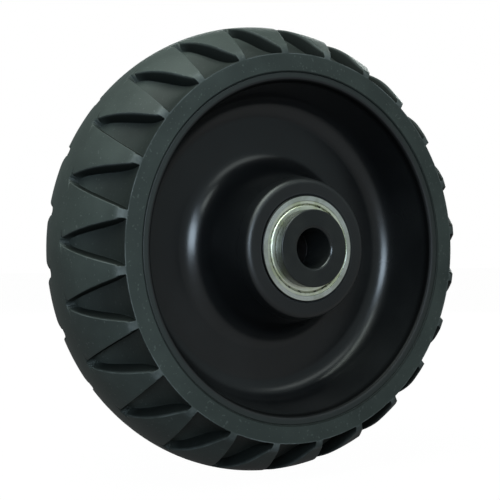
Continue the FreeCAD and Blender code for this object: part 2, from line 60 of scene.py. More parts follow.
# A grid (rows, columns, 3) in millimetres. Quad = point, its right neighbour, the one below that, the one
# below. Columns close on themselves, and rows when asked. Caps are single points that close the first and
# last row.
def gridMesh(name, grids, closeRows=True, caps=None):
    points, quads, triangles, start = [], [], [], 0
    for number, grid in enumerate(grids):
        rows, columns = grid.shape[:2]
        index = start + np.arange(rows * columns).reshape(rows, columns)
        right = np.roll(index, -1, 1)
        below, belowRight = np.roll(index, -1, 0), np.roll(right, -1, 0)
        faces = np.stack([index, right, belowRight, below], -1)
        quads.append((faces if closeRows else faces[:-1]).reshape(-1, 4))
        points.append(grid.reshape(-1, 3))
        start += rows * columns
        if caps is not None:
            first = np.full(columns, start)
            points.append(caps[number])
            triangles.append(np.stack([first, right[0], index[0]], -1))
            triangles.append(np.stack([first + 1, index[-1], right[-1]], -1))
            start += 2
    corners = np.concatenate([a.ravel() for a in quads + triangles]).astype(np.int32)
    sizes = np.concatenate([np.full(len(a), a.shape[1]) for a in quads + triangles])
    mesh = bpy.data.meshes.new(name)
    mesh.vertices.add(start)
    mesh.vertices.foreach_set("co", (np.concatenate(points) * mm).astype(np.float32).ravel())
    mesh.loops.add(len(corners))
    mesh.loops.foreach_set("vertex_index", corners)
    mesh.polygons.add(len(sizes))
    mesh.polygons.foreach_set("loop_start", np.concatenate([[0], np.cumsum(sizes)[:-1]]).astype(np.int32))
    mesh.polygons.foreach_set("use_smooth", np.ones(len(sizes), bool))
    mesh.update(calc_edges=True)
    mesh.validate()
    return mesh


# Puts a mesh in the scene as a piece that rides on a body and stands for CAD nodes
def addPiece(name, mesh, material, body, nodes):
    piece = bpy.data.objects.new(name, mesh)
    scene.collection.objects.link(piece)
    mesh.materials.append(material)
    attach(piece, body)
    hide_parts(*nodes)


# Corner = (radius, place along the axle, rounding). Each rounding is an arc from tangent point to tangent
# point, tangent length = rounding * tan(turn / 2), with a point for every step degrees. Every straight run
# gets a point close to each end, at the support distance, which keeps its shading flat.
def roundedLoop(corners, step, support):
    place = np.array([c[:2] for c in corners], float)
    rounding = np.array([c[2] for c in corners], float)
    back = np.roll(place, 1, 0) - place
    ahead = np.roll(place, -1, 0) - place
    back /= np.linalg.norm(back, axis=1)[:, None]
    ahead /= np.linalg.norm(ahead, axis=1)[:, None]
    turn = math.pi - np.arccos(np.clip((back * ahead).sum(1), -1, 1))
    reach = (rounding * np.tan(turn / 2))[:, None]
    middle = back + ahead
    middle /= np.linalg.norm(middle, axis=1)[:, None]
    centre = place + middle * (rounding / np.cos(turn / 2))[:, None]
    starts, ends = place + back * reach, place + ahead * reach
    nextStarts = np.roll(starts, -1, 0)
    parts = []
    for i in range(len(corners)):
        arc = starts[i][None]
        if rounding[i] > 0:
            first, last = (math.atan2(*(point - centre[i])[::-1]) for point in (starts[i], ends[i]))
            last = first + (last - first + math.pi) % tau - math.pi
            angles = np.linspace(first, last, max(3, int(math.degrees(abs(last - first)) / step) + 2))
            arc = centre[i] + rounding[i] * np.stack([np.cos(angles), np.sin(angles)], -1)
        run = nextStarts[i] - ends[i]
        length = np.linalg.norm(run)
        shares = np.array([support, length - support]) / length if length > 3 * support else np.array([])
        parts += [arc, ends[i] + shares[:, None] * run]
    return np.concatenate(parts)


# Ring point = (radius * cos(angle), place along the axle, radius * sin(angle)), with the outline put in the
# order that makes the faces look outwards
def ringGrid(outline, segments):
    nextPoint = np.roll(outline, -1, 0)
    area = (outline[:, 0] * nextPoint[:, 1] - nextPoint[:, 0] * outline[:, 1]).sum()
    if area > 0:
        outline = outline[::-1]
    angle = np.arange(segments) * tau / segments
    radius, along = outline[:, :1], outline[:, 1:]
    return np.stack([radius * np.cos(angle), along + 0 * angle, radius * np.sin(angle)], -1)


# A turned piece: the rounded outline, place along the axle = sign * its own place + middle, turned to a ring
def turnedMesh(name, corners, segments, step, support=0.15, sign=1, middle=0.0):
    loop = roundedLoop(corners, step, support) * (1, sign) + (0, middle)
    return gridMesh(name, [ringGrid(loop, segments)])


# An outline's corners and their mirror image, (radius, -place, rounding), as one closed outline
def mirrored(corners):
    return [(r, -y, k) for r, y, k in corners] + [(r, y, k) for r, y, k in reversed(corners)]


# The mirror image alone
def flipped(corners):
    return [(r, -y, k) for r, y, k in reversed(corners)]


# Materials

# A socket takes a link from a Value, or else a plain number or colour
def feed(tree, socket, item):
    if isinstance(item, Value):
        tree.links.new(item.socket, socket)
    else:
        socket.default_value = item


# One output socket, so that shader maths reads as ordinary Python: a + b, 1 - mask, height * 0.3
class Value:
    def __init__(self, tree, socket):
        self.tree, self.socket = tree, socket

    def maths(self, operation, first, second):
        return Paint.of(self.tree).node("ShaderNodeMath", {"operation": operation}, {0: first, 1: second})

    def __add__(self, other):
        return self.maths("ADD", self, other)

    def __radd__(self, other):
        return self.maths("ADD", other, self)

    def __rsub__(self, other):
        return self.maths("SUBTRACT", other, self)

    def __mul__(self, other):
        return self.maths("MULTIPLY", self, other)

    def __rmul__(self, other):
        return self.maths("MULTIPLY", other, self)

    # 0 below low, 1 above high, a smooth step between them
    def between(self, low, high):
        return Paint.of(self.tree).node("ShaderNodeMapRange", {"interpolation_type": "SMOOTHSTEP"},
                                        {"Value": self, "From Min": low, "From Max": high})

    # 1 from low to high, falling smoothly to 0 at start and end
    def band(self, start, low, high, end):
        return self.between(start, low) * (1 - self.between(high, end))


# A material's nodes: node() makes any kind from its type, its settings and the values or links of its sockets
class Paint:
    def __init__(self, name, **fixed):
        self.material = bpy.data.materials.new(name)
        self.material.use_nodes = True
        self.tree = self.material.node_tree
        self.shader = self.tree.nodes["Principled BSDF"]
        self.finish = Value(self.tree, self.shader.outputs[0])
        self.place = self.node("ShaderNodeTexCoord", output="Object")
        self.set(**fixed)

    # For nodes that are already there, such as the world's
    @classmethod
    def of(cls, tree):
        paint = cls.__new__(cls)
        paint.tree = tree
        return paint

    def node(self, kind, settings=None, inputs=None, output=0):
        made = self.tree.nodes.new(kind)
        for key, value in (settings or {}).items():
            setattr(made, key, value)
        for key, value in (inputs or {}).items():
            feed(self.tree, made.inputs[key], value)
        return Value(self.tree, made.outputs[output])

    def set(self, **sockets):
        for name, value in sockets.items():
            feed(self.tree, self.shader.inputs[name.replace("_", " ")], value)

    def noise(self, scale, detail, roughness=0.5, vector=None):
        inputs = {"Vector": vector or self.place, "Scale": scale, "Detail": detail, "Roughness": roughness}
        return self.node("ShaderNodeTexNoise", inputs=inputs, output="Fac")

    def blend(self, factor, first, second):
        return self.node("ShaderNodeMix", {"data_type": "RGBA"}, {0: factor, 6: first, 7: second}, 2)

    def bump(self, height, strength, distance):
        return self.node("ShaderNodeBump", inputs={"Height": height, "Strength": strength, "Distance": distance})

    # Sends a shader to the material's output
    def show(self, surface):
        self.tree.links.new(surface.socket, self.tree.nodes["Material Output"].inputs["Surface"])

    # Lays a matte coat of one colour over the finish, by the given share
    def cover(self, share, tone, roughness=0.9):
        coat = {"Base Color": tone, "Roughness": roughness, "Specular IOR Level": 0.0}
        matte = self.node("ShaderNodeBsdfPrincipled", inputs=coat)
        self.show(self.node("ShaderNodeMixShader", inputs={0: share, 1: self.finish, 2: matte}))

    # Distance from the axle, in metres: the length of the place without its part along the axle
    def fromAxle(self):
        flat = self.node("ShaderNodeVectorMath", {"operation": "MULTIPLY"}, {0: self.place, 1: (1, 0, 1)})
        return self.node("ShaderNodeVectorMath", {"operation": "LENGTH"}, {0: flat}, "Value")

    def alongAxle(self):
        return self.node("ShaderNodeSeparateXYZ", inputs={"Vector": self.place}, output="Y")


def colour(r, g, b):
    return (r, g, b, 1)


# In the looks below a noise is (scale, detail, roughness), a bump is (strength, distance in metres), a band
# of noise is where it goes from 0 to 1, and every radius is in metres

# Moulded rubber: charcoal with a grey-green cast, cloudy lighter patches, fine grain and scattered pale specks
rubberLook = {
    "dark": colour(0.0265, 0.0325, 0.0295),
    "light": colour(0.037, 0.045, 0.0405),
    "dust": colour(0.13, 0.14, 0.13),
    # pale tone of wear and painted highlight
    "wearAndHighlight": colour(0.12, 0.132, 0.13),
    # painted shade: near-black tone for pocket walls, the low half of pocket floors and the gap beside the rim
    "paintedShade": colour(0.003, 0.004, 0.0035),
    "dustShade": 0.24,       # how strongly each tone takes over
    "floorShadeShare": 0.62,
    "wallShade": 0.9,
    "shadeCoatShare": 0.75,       # share of a matte coat on the walls
    "scuffLeast": 0.15,      # wear where the scuff noise is 0
    "specular": 0.2,
    "roughness": (0.46, 0.58),
    "grainRoughness": 0.06,
    "wallRoughness": 0.3,
    "cloud": (45, 3.0, 0.6),
    "cloudBand": (0.35, 0.7),
    "grain": (1500, 2.0, 0.6),
    "grainBump": (0.25, 0.00012),
    "speck": (1250, 0.0),
    "speckBand": (0.74, 0.80),
    "speckHeight": 0.6,
    "scuff": (140, 3.0, 0.7),
    "scuffBand": (0.35, 0.65),
}


# Colour = dark to light by cloud, then the dust's tone on specks, a pale tone of wear and painted highlight on
# edges, land ends and the crease, and a near-black painted shade on the low half of pocket floors, on pocket
# walls and in the gap beside the rim, with a matte coat of it on the walls
def rubberMaterial(look):
    paint = Paint("tyreRubber", Specular_IOR_Level=look["specular"])
    cloud, grain = paint.noise(*look["cloud"]), paint.noise(*look["grain"])
    speck = paint.noise(*look["speck"]).between(*look["speckBand"])
    scuff = paint.noise(*look["scuff"]).between(*look["scuffBand"])
    marks = paint.node("ShaderNodeAttribute", {"attribute_name": "treadMarks"}, output="Vector")
    paintedShade, wearAndHighlight, paintedFloorShade = (paint.node("ShaderNodeSeparateXYZ", inputs={"Vector": marks}, output=axis)
                         for axis in "XYZ")
    least = look["scuffLeast"]
    base = paint.blend(cloud.between(*look["cloudBand"]), look["dark"], look["light"])
    base = paint.blend(speck * look["dustShade"], base, look["dust"])
    # Wear and painted highlight: the pale tone on the crease, land ends and edges, broken up by the scuff noise
    base = paint.blend(wearAndHighlight * (least + (1 - least) * scuff), base, look["wearAndHighlight"])
    # Painted shade: the near-black tone over the low half of each pocket floor
    base = paint.blend(paintedFloorShade * look["floorShadeShare"], base, look["paintedShade"])
    # Painted shade: the near-black tone on pocket walls and in the gap beside the rim
    paint.set(Base_Color=paint.blend(paintedShade * look["wallShade"], base, look["paintedShade"]))
    low, high = look["roughness"]
    rough = low + (high - low) * cloud + grain * look["grainRoughness"] + paintedShade * look["wallRoughness"]
    paint.set(Roughness=rough, Normal=paint.bump(grain + speck * look["speckHeight"], *look["grainBump"]))
    # Painted shade: a matte near-black coat that takes the sheen off the walls and the gap
    paint.cover(paintedShade * look["shadeCoatShare"], look["paintedShade"])
    return paint.material


# Gloss black moulding: soft wide highlights on the web, duller on the hub's face, matte at the bearing's seat,
# and a painted shade line just inside the rim's edge
centreLook = {
    "base": colour(0.0042, 0.0046, 0.0050),
    "pale": colour(0.0072, 0.0078, 0.0082),
    "lip": colour(0.008, 0.011, 0.010),       # edge of the rim beside the rubber
    "lipRadius": (0.0562, 0.0566),
    # painted shade: a dark line inside the rim's edge, where its rounding falls into shade
    "shadeLineTone": colour(0.001, 0.001, 0.001),  # dark line on the inner side of that edge
    "shadeLineShare": 0.7,
    "line": (0.0546, 0.0551, 0.0556, 0.0560),
    "specular": 0.5,
    "seatRoughness": 0.9,
    # radii over which the roughness goes to a new value: hub's face, web, rim's edge
    "roughnessSteps": [((0.0180, 0.0184), 0.39), ((0.0225, 0.0240), 0.24), ((0.0550, 0.0556), 0.55)],
    "flow": (30, 3.0, 0.55),
    "flowBand": (0.4, 0.7),
    "flowRoughness": 0.05,
    "skin": (260, 2.0, 0.5),
    "skinBump": (0.06, 0.0004),
}


# Roughness = the seat's + for each step (new value - last value) * share of the step, by radius
def centreMaterial(look):
    paint = Paint("centrePlastic", Specular_IOR_Level=look["specular"])
    radius = paint.fromAxle()
    flow, skin = paint.noise(*look["flow"]), paint.noise(*look["skin"])
    base = paint.blend(flow.between(*look["flowBand"]), look["base"], look["pale"])
    paint.set(Base_Color=paint.blend(radius.between(*look["lipRadius"]), base, look["lip"]))
    rough = last = look["seatRoughness"]
    for band, new in look["roughnessSteps"]:
        rough, last = rough + (new - last) * radius.between(*band), new
    paint.set(Roughness=rough + look["flowRoughness"] * flow, Normal=paint.bump(skin, *look["skinBump"]))
    # Painted shade: a matte near-black line just inside the rim's edge
    paint.cover(radius.band(*look["line"]) * look["shadeLineShare"], look["shadeLineTone"])
    return paint.material


# Matte black moulding of the bushes: even and faintly grained, glossier round the mouth of the bore
bushLook = {
    "base": colour(0.008, 0.009, 0.009),
    "pale": colour(0.012, 0.013, 0.012),
    "specular": 0.4,
    "roughness": 0.27,
    "mouthRoughness": 0.18,
    "mouthRadius": (0.0068, 0.0078),
    "cloud": (160, 2.0),
    "cloudBand": (0.35, 0.7),
    "cloudRoughness": 0.12,
    "grain": (900, 2.0),
    "grainBump": (0.18, 0.00008),
}


def bushMaterial(look):
    paint = Paint("bushPlastic", Specular_IOR_Level=look["specular"])
    grain, cloud = paint.noise(*look["grain"]), paint.noise(*look["cloud"])
    onFace = paint.fromAxle().between(*look["mouthRadius"])
    mouth = look["mouthRoughness"]
    paint.set(Base_Color=paint.blend(cloud.between(*look["cloudBand"]), look["base"], look["pale"]))
    paint.set(Roughness=mouth + (look["roughness"] - mouth + look["cloudRoughness"] * cloud) * onFace)
    paint.set(Normal=paint.bump(grain, *look["grainBump"]))
    return paint.material


# Turned or pressed steel: fine rings round the axle, in the colour, the roughness and the surface
steelFinish = {
    "cloud": (220, 3.0, 0.6),
    "cloudBand": (0.42, 0.68),
    "cloudRoughness": 0.06,
    "ringDetail": 1.0,
    "ringDepth": 0.00003,
    "greaseShade": 0.7,
    "speck": (900, 1.0),
    "speckBand": (0.56, 0.62),
}
steelLooks = {
    "ringSteel": {
        "base": colour(0.78, 0.81, 0.77), "shade": colour(0.60, 0.63, 0.56),
        "roughness": (0.2, 0.34), "rings": 9000, "bump": 0.25,
        # painted shade: a dark line on the ring's outer edge, in the gap round the bearing
        "edge": (0.01705, 0.0172), "edgeColour": colour(0.02, 0.02, 0.02),  # dark gap round the bearing
    },
    "shieldSteel": {
        "base": colour(0.95, 0.97, 0.82), "shade": colour(0.74, 0.78, 0.55),
        "roughness": (0.3, 0.42), "rings": 5000, "bump": 0.15,
        "groove": (0.0141, 0.01425, 0.01455, 0.0149),  # where old grease and dirt sit
        "grease": colour(0.16, 0.17, 0.09), "speck": colour(0.015, 0.016, 0.012),
    },
    "cageSteel": {
        "base": colour(0.55, 0.55, 0.53), "shade": colour(0.4, 0.4, 0.38),
        "roughness": (0.3, 0.45), "rings": 3000, "bump": 0.1,
    },
    "spacerSteel": {
        "base": colour(0.05, 0.045, 0.045), "shade": colour(0.03, 0.027, 0.025),
        "roughness": (0.6, 0.75), "rings": 6000, "bump": 0.3,
    },
    "ballSteel": {
        "base": colour(0.80, 0.80, 0.80), "shade": colour(0.72, 0.72, 0.72),
        "roughness": (0.05, 0.1), "rings": 500, "bump": 0.0,
    },
}


# Rings = noise of (distance from the axle, place along it), so that it is the same all round
def steelMaterial(name, look, finish):
    paint = Paint(name, Metallic=1.0)
    radius = paint.fromAxle()
    across = paint.node("ShaderNodeCombineXYZ", inputs={"X": radius, "Y": paint.alongAxle()})
    rings = paint.noise(look["rings"], finish["ringDetail"], vector=across)
    cloud = paint.noise(*finish["cloud"])
    base = paint.blend(cloud.between(*finish["cloudBand"]), look["base"], look["shade"])
    if "groove" in look:
        groove = radius.band(*look["groove"])
        specks = paint.noise(*finish["speck"]).between(*finish["speckBand"])
        base = paint.blend(groove * finish["greaseShade"], base, look["grease"])
        base = paint.blend(groove * specks, base, look["speck"])
    if "edge" in look:
        # Painted shade on the ring's outer edge, where the gap round the bearing is
        base = paint.blend(radius.between(*look["edge"]), base, look["edgeColour"])
    low, high = look["roughness"]
    paint.set(Base_Color=base, Roughness=low + (high - low) * rings + finish["cloudRoughness"] * cloud)
    if look["bump"]:
        paint.set(Normal=paint.bump(rings, look["bump"], finish["ringDepth"]))
    return paint.material


rubber = rubberMaterial(rubberLook)
centrePlastic = centreMaterial(centreLook)
bushPlastic = bushMaterial(bushLook)
steel = {name: steelMaterial(name, look, steelFinish) for name, look in steelLooks.items()}
print("materials made")


# Tyre, in millimetres. Places are along the axle from the middle of the tread.

tyre = {
    "crownRadius": 76.57,
    "crownHeight": 10.5,     # from the shoulder to the crown
    "flankAngle": 35.0,      # the land is a round crown with straight flanks
    "halfWidth": 26.0,
    "shoulderRounding": 3.5,
    "creaseRadius": 64.3,    # where the pocket floors meet the side ring
    # pocket floor: places along the axle and the radius there
    "floorPlace": [0.0, 6.0, 8.5, 10.5, 13.0, 16.0, 18.5, 20.5, 22.0, 23.5, 25.0, 26.0],
    "floorRadius": [74.42, 72.92, 72.2, 71.1, 69.6, 67.7, 66.2, 65.25, 64.75, 64.45, 64.32, 64.3],
    "gapRadius": 58.0,       # bore of the rubber, and the rounding of its edge
    "gapRounding": 0.45,
    "gapDepth": 3.0,
    "bedRadius": 56.9,
    "bedStep": 18.5,
    "bedSlope": 1.1,
    "bedRow": 9.0,
    "pockets": 24,
    "phase": 1.65,           # degrees from +Z towards +X
    "pocketBase": 7.45,      # half width of the outline at the place pocketBaseOffset
    "pocketBaseOffset": 27.0,
    "pocketEdge": 200.0,     # radius of the bowed edges
    "pocketTip": 1.2,
    "pocketTipOffset": 4.3,
    "leastHalfWidth": 0.75,
    "wallRun": 0.10,
    "wallRounding": 0.20,
    # rows of points, from the middle of the tread outwards
    "middleRows": [0.0, 1.3, 2.3, 3.1],
    "tipRows": [-0.27, -0.2, -0.1, 0.0, 0.15, 0.26, 0.42, 0.65, 0.95, 1.35, 1.9],  # from the end of the tip
    "flankRows": (6.7, 20.6, 14),
    "endRows": (21.2, 6),
    "endGap": 0.25,          # from the last of them to the shoulder's arc
    "shoulderRows": 6,
    "creaseRows": [25.4, 25.66, 25.84, 25.95, 26.0, 26.0],
    "creaseDrops": [0, 0, 0, 0.01, 0.05, 0.2],
    "ringRows": [63.85, 62.3, 60.8],
    "ringWarps": [1.0, 0.75, 0.45, 0.2],
    "ringGap": 0.2,
    "gapTurns": [0, 18, 36, 54, 72, 90],
    # columns of points, from the middle of a pocket outwards: shares of the floor's half width, shares of the
    # wall's run and rounding, the gap to the first one on the land, and shares of the land's half width
    "floorColumns": [0, 0.28, 0.55, 0.8, 0.94],
    "wallColumns": [(1, 1), (1, 0.4), (1, 0), (0.2, 0), (0, -0.4), (0, -0.8)],
    "landGap": 0.02,
    "landColumns": [0.12, 0.34, 0.6, 0.82],
    "columnsPerPocket": 32,
    # marks for the rubber's material: painted shade, and wear with painted highlight
    "wallShadeMark": 0.7,
    "edgeMark": 0.4,
    "endMark": 0.5,
    "gapShadeMark": 0.5,
    "tipMark": 0.25,         # how much of the wall's and edge's marks is left at the tip
    "markWidth": 1.5,        # half width of the pocket, past the least, where they are whole
    "markDepths": (0.3, 1.1),    # depths over which they appear
    "footFade": 0.15,
    "edgeReach": 0.02,
    "edgeFade": 0.06,
    "creaseReach": -0.1,
    "endPlaces": (23.5, 26.0),
    "floorShadePlaces": (7.0, 16.0),
}


# 0 at low, 1 at high, straight between them
def ramp(value, low, high):
    return np.clip((value - low) / (high - low), 0, 1)


# Land radius: a crown arc of radius (half width * tan(angle) - height) / (1 / cos(angle) - 1), and outside the
# place where it leans to the flank's angle a straight flank down to the shoulder
def landRadius(t, along):
    lean = math.radians(t["flankAngle"])
    curve = (t["halfWidth"] * math.tan(lean) - t["crownHeight"]) / (1 / math.cos(lean) - 1)
    crown = t["crownRadius"] - curve + np.sqrt(np.maximum(curve ** 2 - along ** 2, 0))
    flank = t["crownRadius"] - t["crownHeight"] + (t["halfWidth"] - along) * math.tan(lean)
    return np.where(along < curve * math.sin(lean), crown, flank)


# Floor radius: straight lines between the listed places
def floorRadius(t, along):
    return np.interp(along, t["floorPlace"], t["floorRadius"])


# The tooth outline of a pocket: two bowed edges and a round tip. The edge's centre is at distance
# edge radius - tip radius from the tip's centre and edge radius from the base corner. Returns the tip's
# centre, the centre of the right edge's arc, and the direction from the tip's centre to where the two meet.
def toothShape(t):
    tip = np.array([0.0, t["pocketTipOffset"] + t["pocketTip"]])
    base = np.array([t["pocketBase"], t["pocketBaseOffset"]])
    span = base - tip
    gap = np.linalg.norm(span)
    inner, outer = t["pocketEdge"] - t["pocketTip"], t["pocketEdge"]
    foot = (gap ** 2 + inner ** 2 - outer ** 2) / (2 * gap)
    height = math.sqrt(inner ** 2 - foot ** 2)
    edge = tip + span * foot / gap + np.array([-span[1], span[0]]) * height / gap
    joint = (tip - edge) / np.linalg.norm(tip - edge)
    return tip, edge, joint


# Depth inside the outline: edge radius - distance to the edge's centre, or round the tip
# tip radius - distance to the tip's centre
def insideTooth(t, across, along):
    tip, edge, joint = toothShape(t)
    across = np.abs(across)
    fromTip = np.stack([across, along - tip[1]], -1)
    insideTip = t["pocketTip"] - np.linalg.norm(fromTip, axis=-1)
    insideEdge = t["pocketEdge"] - np.hypot(across - edge[0], along - edge[1])
    roundTip = joint[0] * fromTip[..., 1] - joint[1] * fromTip[..., 0] < 0
    return np.where(roundTip, insideTip, insideEdge)


# Half width of the outline at a place: edge's centre + sqrt(edge radius ^ 2 - (place - centre's place) ^ 2),
# never under the least half width
def toothHalfWidth(t, along):
    tip, edge, joint = toothShape(t)
    least = t["leastHalfWidth"]
    width = edge[0] + np.sqrt(np.clip(t["pocketEdge"] ** 2 - (along - edge[1]) ** 2, 0, None))
    return np.where(along < tip[1], least, np.maximum(width, least))


# Share of the way down a pocket's wall: a quarter circle, a straight run and a quarter circle. Each circle's
# drop = rounding - sqrt(rounding ^ 2 - distance into it ^ 2).
def wallShare(t, inside, depth):
    bend = np.minimum(t["wallRounding"], depth / 2)
    top = bend - np.sqrt(np.clip(bend ** 2 - np.clip(inside + bend, 0, bend) ** 2, 0, None))
    low = bend - np.sqrt(np.clip(bend ** 2 - np.clip(t["wallRun"] + bend - inside, 0, bend) ** 2, 0, None))
    run = bend + (depth - 2 * bend) * np.clip(inside / t["wallRun"], 0, 1)
    drop = np.where(inside < 0, top, np.where(inside > t["wallRun"], depth - low, run))
    return drop / np.maximum(depth, 1e-6)


# Two profiles with the same rows, over a land and over a pocket's floor, each (radii, places): tread, shoulder
# arc or crease, side ring, rounding of the gap and half of the bed. Shoulder arc = centre + rounding *
# (sin(turn), cos(turn)). Returns them with the tread's places and the number of rows up to the side ring.
def tyreProfiles(t):
    half, crease, rounding = t["halfWidth"], t["creaseRadius"], t["shoulderRounding"]
    lean = math.radians(t["flankAngle"])
    reach = rounding * math.tan((math.pi / 2 - lean) / 2)
    arcStart = half - reach * math.cos(lean)
    endStart, endCount = t["endRows"]
    tread = np.concatenate([t["middleRows"], t["pocketTipOffset"] + np.array(t["tipRows"]),
                            np.linspace(*t["flankRows"]),
                            np.linspace(endStart, arcStart - t["endGap"], endCount), [arcStart]])
    turns = np.linspace(math.pi / 2 - lean, 0, t["shoulderRows"] + 1)[1:]
    arcRadius = landRadius(t, np.array(half)) - reach + rounding * np.sin(turns)
    arcPlace = half - rounding + rounding * np.cos(turns)
    gap, bend, bed = t["gapRadius"], t["gapRounding"], t["bedRadius"]
    quarter = np.radians(t["gapTurns"])
    ringRadius = np.concatenate([t["ringRows"], [gap + bend + t["ringGap"]], gap + bend - bend * np.sin(quarter),
                                 [gap, gap, bed, bed, bed]])
    ringPlace = np.concatenate([[half] * 4, half - bend + bend * np.cos(quarter),
                                [half - t["gapDepth"], t["bedStep"], t["bedStep"] - t["bedSlope"],
                                 t["bedRow"], 0.0]])
    lands = np.stack([np.concatenate([landRadius(t, tread), arcRadius, ringRadius]),
                      np.concatenate([tread, arcPlace, ringPlace])])
    floors = np.stack([np.concatenate([floorRadius(t, tread), crease - np.array(t["creaseDrops"]), ringRadius]),
                       np.concatenate([tread, t["creaseRows"], ringPlace])])
    return lands, floors, tread, len(tread) + len(turns)


# Angles of the columns of one pitch, in degrees from the pocket's middle, one line for each row. They follow
# the pocket's floor, wall and land: angle = distance from the middle / mm in a degree. Where warp is 0 they
# are even.
def tyreColumns(t, landRadii, width, warp):
    run, bend = t["wallRun"], t["wallRounding"]
    floorEnd, landStart = run + bend, -bend - t["landGap"]
    wallPlaces = np.append(np.array(t["wallColumns"]) @ (run, bend), landStart)
    degree = math.radians(1) * landRadii
    pitch = 180.0 / t["pockets"]
    landEnd = pitch * degree
    floorPart = np.array(t["floorColumns"])[None] * (width - floorEnd)[:, None]
    wallPart = width[:, None] - wallPlaces[None]
    landWidth = landEnd - width + landStart
    landPart = (width - landStart)[:, None] + np.array(t["landColumns"])[None] * landWidth[:, None]
    warped = np.concatenate([floorPart, wallPart, landPart, landEnd[:, None]], 1) / degree[:, None]
    count = t["columnsPerPocket"] // 2
    even = np.arange(count + 1) * pitch / count
    halfColumns = even[None] + (warped - even[None]) * warp[:, None]
    return np.concatenate([-halfColumns[:, :0:-1], halfColumns[:, :-1]], 1)


# Marks of every point: x = painted shade, 1 at the foot of a pocket's wall, less up the wall and in the gap
# beside the rim; y = wear and painted highlight, 1 along the crease of the side ring, less on the ends and the
# edges of the lands; z = painted shade, 1 on the low half of a pocket's floor
def tyreMarks(t, place, width, inside, depth, sideRows):
    run, bend = t["wallRun"], t["wallRounding"]
    wide = np.clip((width - t["leastHalfWidth"]) / t["markWidth"], t["tipMark"], 1)
    strength = (ramp(depth, *t["markDepths"]) * wide)[:, None]
    # Painted shade on the wall's foot and up the wall
    foot = ramp(inside, 0.5 * run, run) * ramp(run + bend - inside, 0, t["footFade"])
    onWall = np.abs(inside - 0.5 * run) < 0.6 * run
    paintedShade = np.maximum(foot, t["wallShadeMark"] * onWall) * strength
    # Wear and painted highlight on the land's edges, the land ends and along the crease
    edge = ramp(inside, -0.9 * bend, -0.5 * bend) * ramp(t["edgeReach"] - inside, 0, t["edgeFade"])
    end = ramp(place, *t["endPlaces"])[:, None] * (inside < -0.5 * bend)
    wearAndHighlight = np.maximum(t["edgeMark"] * edge * strength, t["endMark"] * end)
    wearAndHighlight[sideRows - 1] = np.maximum(wearAndHighlight[sideRows - 1], inside[sideRows - 1] > t["creaseReach"])
    # Painted shade on the low half of the floor, towards the crease
    paintedFloorShade = ramp(place, *t["floorShadePlaces"])[:, None] * ramp(inside, run, 3 * run) * (1 - wearAndHighlight)
    gapStart = sideRows + len(t["ringWarps"])
    paintedShade[sideRows:], wearAndHighlight[sideRows:], paintedFloorShade[sideRows:] = 0, 0, 0
    # Painted shade in the gap beside the rim
    paintedShade[gapStart:gapStart + len(t["gapTurns"])] = t["gapShadeMark"]
    return np.stack([paintedShade, wearAndHighlight, paintedFloorShade], -1)


# One side of the tyre, from the middle of the tread over the shoulder to the middle of the bed.
# Point = land + (floor - land) * share of the way down the wall, at the column's angle, with its marks.
def tyreSide(t, sign):
    lands, floors, tread, sideRows = tyreProfiles(t)
    rows = lands.shape[1]
    place = np.concatenate([tread, np.full(rows - len(tread), t["halfWidth"])])
    warp = ramp(place, 0, t["middleRows"][-1])
    warp = warp * warp * (3 - 2 * warp)
    ringStart = sideRows + len(t["ringWarps"])
    warp[sideRows:ringStart], warp[ringStart:] = t["ringWarps"], 0
    width = toothHalfWidth(t, place)
    columns = tyreColumns(t, lands[0], width, warp)
    across = lands[0][:, None] * np.sin(np.radians(columns))
    inside = insideTooth(t, across, place[:, None] + 0 * columns)
    depth = np.hypot(*(lands - floors))
    share = wallShare(t, inside, np.maximum(depth, 1e-3)[:, None])
    share[sideRows:] = 0
    marks = tyreMarks(t, place, width, inside, depth, sideRows)
    radius, along = lands[:, :, None] + (floors - lands)[:, :, None] * share
    # Angle 0 is +Z, and it grows towards +X. The rear pockets start half a pitch on.
    pitch = 180.0 / t["pockets"]
    starts = np.arange(t["pockets"]) * 2 * pitch + t["phase"] + (0 if sign < 0 else pitch)
    angle = np.radians(starts[None, :, None] + columns[:, None, :]).reshape(rows, -1)
    radius, along = np.tile(radius, (1, t["pockets"])), np.tile(along, (1, t["pockets"]))
    grid = np.stack([radius * np.sin(angle), sign * along, radius * np.cos(angle)], -1)
    return np.concatenate([grid, np.tile(marks, (1, t["pockets"], 1))], -1)


# Both sides as one grid of points, each with its place and its marks. The rear's columns are rolled back by
# half a pocket to meet the front's.
def tyreGrid(t):
    front, rear = tyreSide(t, -1), tyreSide(t, 1)
    rear = np.roll(rear, t["columnsPerPocket"] // 2, axis=1)
    return np.concatenate([front[::-1], rear[1:-1]])


tyrePoints = tyreGrid(tyre)
mesh = gridMesh("tyreTread", [tyrePoints[..., :3]])
marks = mesh.attributes.new("treadMarks", "FLOAT_VECTOR", "POINT")
marks.data.foreach_set("vector", tyrePoints[..., 3:].astype(np.float32).ravel())
addPiece("tyreTread", mesh, rubber, "wheel", ["tyre"])
print("tyre made")


# Moulded centre: rim, flat web and hub turned from one outline, with drafted walls and wide roundings

centre = {
    "hubBore": 15.2,         # radii, and places along the axle from the middle of the wheel
    "seat": 17.5,
    "seatFloor": 18.2,
    "seatMouth": 0.45,
    "bossRadius": 22.8,
    "bossFace": 28.9,
    "bossRounding": 2.1,
    "bossRoot": 27.87,
    "hubRounding": 8.5,
    "web": 4.4,
    "rimRoot": 51.07,
    "rimRounding": 7.5,
    "rimLip": 55.4,
    "lipRounding": 1.5,
    "rimFace": 25.7,
    "rimRadius": 58.0,
    "rimEdge": 0.3,
    "bedStep": 18.5,
    "bedRadius": 56.9,
    "bed": 17.4,
    "sharp": (0.1, 0.15, 0.2),   # roundings of the edges that look sharp
    "segments": 288,
    "step": 6.5,
}


